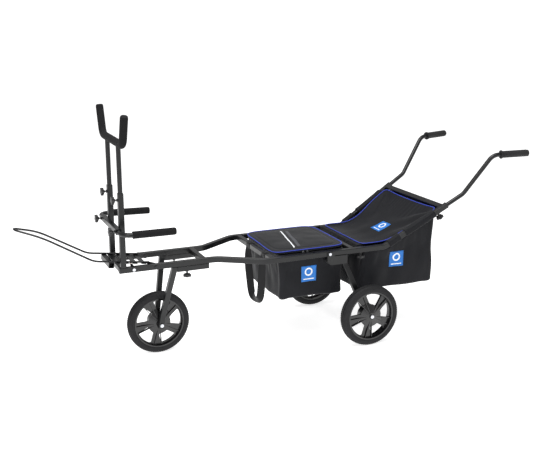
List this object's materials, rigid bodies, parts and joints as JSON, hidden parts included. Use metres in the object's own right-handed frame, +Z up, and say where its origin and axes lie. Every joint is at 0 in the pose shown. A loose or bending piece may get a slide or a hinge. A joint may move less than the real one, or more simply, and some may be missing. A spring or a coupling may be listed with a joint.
{
  "type": "beach cart",
  "caption": "Three-wheeled beach cart: tube frame with telescoping push handles, padded yoke and arms, folding wire nose, under-slung basket and rear bag.",
  "frame": {"origin": "on the ground under the middle of the cart's length and width", "axes": "+X towards the push handles, +Y to the user's right, +Z up"},
  "size_m": [2.4402, 0.7484, 1.1608],
  "materials": {
    "frame_paint": "satin powder coat",
    "black_plastic": "moulded",
    "knob_plastic": "moulded, fine grain",
    "white_nylon": "moulded",
    "zinc_steel": "zinc plated",
    "foam": "closed-cell foam",
    "grip_rubber": "matt",
    "tyre": "moulded tread",
    "rim_plastic": "moulded, half gloss",
    "bag_fabric": "coated woven polyester",
    "webbing": "woven webbing"
  },
  "bodies": {
    "chassis": {"left_side_rail": "frame_paint", "right_side_rail": "frame_paint", "front_crossbars": "frame_paint", "rear_crossbars": "frame_paint", "rail_end_plugs": "black_plastic", "fork_sockets": "frame_paint", "left_post": "frame_paint", "right_post": "frame_paint", "armrest_crossbar": "frame_paint", "nose_stop_plates": "frame_paint", "nose_stop_rollers": "white_nylon", "rail_bolts": "zinc_steel", "basket": "bag_fabric", "carry_strap": "webbing", "bar_sleeve": "bag_fabric"},
    "yoke": {"yoke_tube": "frame_paint", "yoke_foam": "foam"},
    "nose": {"nose_wire": "frame_paint", "nose_tray": "frame_paint"},
    "fork": {"left_fork_leg": "frame_paint", "right_fork_leg": "frame_paint", "front_axle": "zinc_steel"},
    "front_wheel": {"front_tyre": "tyre", "front_rim": "rim_plastic", "front_wheel_bushes": "black_plastic"},
    "back_frame": {"left_back_tube": "frame_paint", "right_back_tube": "frame_paint", "back_top_bar": "frame_paint", "tube_sleeves": "bag_fabric", "rear_bag": "bag_fabric"},
    "lid": {"basket_lid": "bag_fabric"},
    "cover": {"bag_cover": "bag_fabric"},
    "left_arm": {"left_arm": "frame_paint", "left_arm_foam": "foam"},
    "left_rear_leg": {"left_rear_leg": "frame_paint", "left_rear_axle": "zinc_steel"},
    "left_wheel": {"left_tyre": "tyre", "left_rim": "rim_plastic", "left_wheel_bushes": "black_plastic"},
    "left_handle": {"left_handle": "frame_paint", "left_grip": "grip_rubber"},
    "left_post_knob": {"left_post_knob": "knob_plastic"},
    "left_arm_knob": {"left_arm_knob": "knob_plastic"},
    "left_fork_knob": {"left_fork_knob": "knob_plastic"},
    "left_back_knob": {"left_back_knob": "knob_plastic"},
    "left_handle_knob": {"left_handle_knob": "knob_plastic"},
    "right_arm": {"right_arm": "frame_paint", "right_arm_foam": "foam"},
    "right_rear_leg": {"right_rear_leg": "frame_paint", "right_rear_axle": "zinc_steel"},
    "right_wheel": {"right_tyre": "tyre", "right_rim": "rim_plastic", "right_wheel_bushes": "black_plastic"},
    "right_handle": {"right_handle": "frame_paint", "right_grip": "grip_rubber"},
    "right_post_knob": {"right_post_knob": "knob_plastic"},
    "right_arm_knob": {"right_arm_knob": "knob_plastic"},
    "right_fork_knob": {"right_fork_knob": "knob_plastic"},
    "right_back_knob": {"right_back_knob": "knob_plastic"},
    "right_handle_knob": {"right_handle_knob": "knob_plastic"}
  },
  "joints": [
    {"name": "front_wheel_spin", "type": "hinge", "parent": "fork", "child": "front_wheel", "pos_m": [-0.59, 0, 0.15], "axis": [0, 1, 0], "continuous": true},
    {"name": "fork_slide", "type": "slide", "parent": "chassis", "child": "fork", "axis": [-1, 0, 0], "range_m": [0, 0.06]},
    {"name": "yoke_height", "type": "slide", "parent": "chassis", "child": "yoke", "axis": [0, 0, 1], "range_m": [-0.17, 0.09]},
    {"name": "nose_fold", "type": "hinge", "parent": "chassis", "child": "nose", "pos_m": [-0.622, 0, 0.4545], "axis": [0, 1, 0], "range_deg": [0, 28]},
    {"name": "back_frame_slide", "type": "slide", "parent": "chassis", "child": "back_frame", "axis": [1, 0, 0], "range_m": [0, 0.025]},
    {"name": "lid_open", "type": "hinge", "parent": "chassis", "child": "lid", "pos_m": [0.3, 0, 0.4674], "axis": [0, 1, 0], "range_deg": [0, 75]},
    {"name": "cover_open", "type": "hinge", "parent": "chassis", "child": "cover", "pos_m": [0.378, 0, 0.4715], "axis": [0, -1, 0], "range_deg": [0, 80]},
    {"name": "left_arm_slide", "type": "slide", "parent": "chassis", "child": "left_arm", "axis": [0, -1, 0], "range_m": [-0.02, 0.05]},
    {"name": "left_leg_fold", "type": "hinge", "parent": "chassis", "child": "left_rear_leg", "pos_m": [0.19, -0.225, 0.4545], "axis": [0, 1, 0], "range_deg": [0, 95]},
    {"name": "left_wheel_spin", "type": "hinge", "parent": "left_rear_leg", "child": "left_wheel", "pos_m": [0.3686, -0.3145, 0.15], "axis": [0, 1, 0], "continuous": true},
    {"name": "left_handle_slide", "type": "slide", "parent": "back_frame", "child": "left_handle", "axis": [0.8573, -0.1145, 0.5019], "range_m": [-0.06, 0.07]},
    {"name": "left_post_knob_turn", "type": "hinge", "parent": "chassis", "child": "left_post_knob", "pos_m": [-0.7825, -0.1, 0.776], "axis": [-1, 0, 0], "range_deg": [0, 180]},
    {"name": "left_arm_knob_turn", "type": "hinge", "parent": "chassis", "child": "left_arm_knob", "pos_m": [-0.8075, -0.131, 0.645], "axis": [-1, 0, 0], "range_deg": [0, 180]},
    {"name": "left_fork_knob_turn", "type": "hinge", "parent": "chassis", "child": "left_fork_knob", "pos_m": [-0.474, -0.1, 0.417], "axis": [0, 0, -1], "range_deg": [0, 180]},
    {"name": "left_back_knob_turn", "type": "hinge", "parent": "chassis", "child": "left_back_knob", "pos_m": [0.364, -0.225, 0.442], "axis": [0, 0, -1], "range_deg": [0, 180]},
    {"name": "left_handle_knob_turn", "type": "hinge", "parent": "back_frame", "child": "left_handle_knob", "pos_m": [0.76556, -0.26113, 0.61289], "axis": [0.5019, -0.0309, -0.8644], "range_deg": [0, 180]},
    {"name": "right_arm_slide", "type": "slide", "parent": "chassis", "child": "right_arm", "axis": [0, 1, 0], "range_m": [-0.02, 0.05]},
    {"name": "right_leg_fold", "type": "hinge", "parent": "chassis", "child": "right_rear_leg", "pos_m": [0.19, 0.225, 0.4545], "axis": [0, 1, 0], "range_deg": [0, 95]},
    {"name": "right_wheel_spin", "type": "hinge", "parent": "right_rear_leg", "child": "right_wheel", "pos_m": [0.3686, 0.3145, 0.15], "axis": [0, 1, 0], "continuous": true},
    {"name": "right_handle_slide", "type": "slide", "parent": "back_frame", "child": "right_handle", "axis": [0.8573, 0.1145, 0.5019], "range_m": [-0.06, 0.07]},
    {"name": "right_post_knob_turn", "type": "hinge", "parent": "chassis", "child": "right_post_knob", "pos_m": [-0.7825, 0.1, 0.776], "axis": [-1, 0, 0], "range_deg": [0, 180]},
    {"name": "right_arm_knob_turn", "type": "hinge", "parent": "chassis", "child": "right_arm_knob", "pos_m": [-0.8075, 0.131, 0.645], "axis": [-1, 0, 0], "range_deg": [0, 180]},
    {"name": "right_fork_knob_turn", "type": "hinge", "parent": "chassis", "child": "right_fork_knob", "pos_m": [-0.474, 0.1, 0.417], "axis": [0, 0, -1], "range_deg": [0, 180]},
    {"name": "right_back_knob_turn", "type": "hinge", "parent": "chassis", "child": "right_back_knob", "pos_m": [0.364, 0.225, 0.442], "axis": [0, 0, -1], "range_deg": [0, 180]},
    {"name": "right_handle_knob_turn", "type": "hinge", "parent": "back_frame", "child": "right_handle_knob", "pos_m": [0.76556, 0.26113, 0.61289], "axis": [0.5019, 0.0309, -0.8644], "range_deg": [0, 180]}
  ]
}
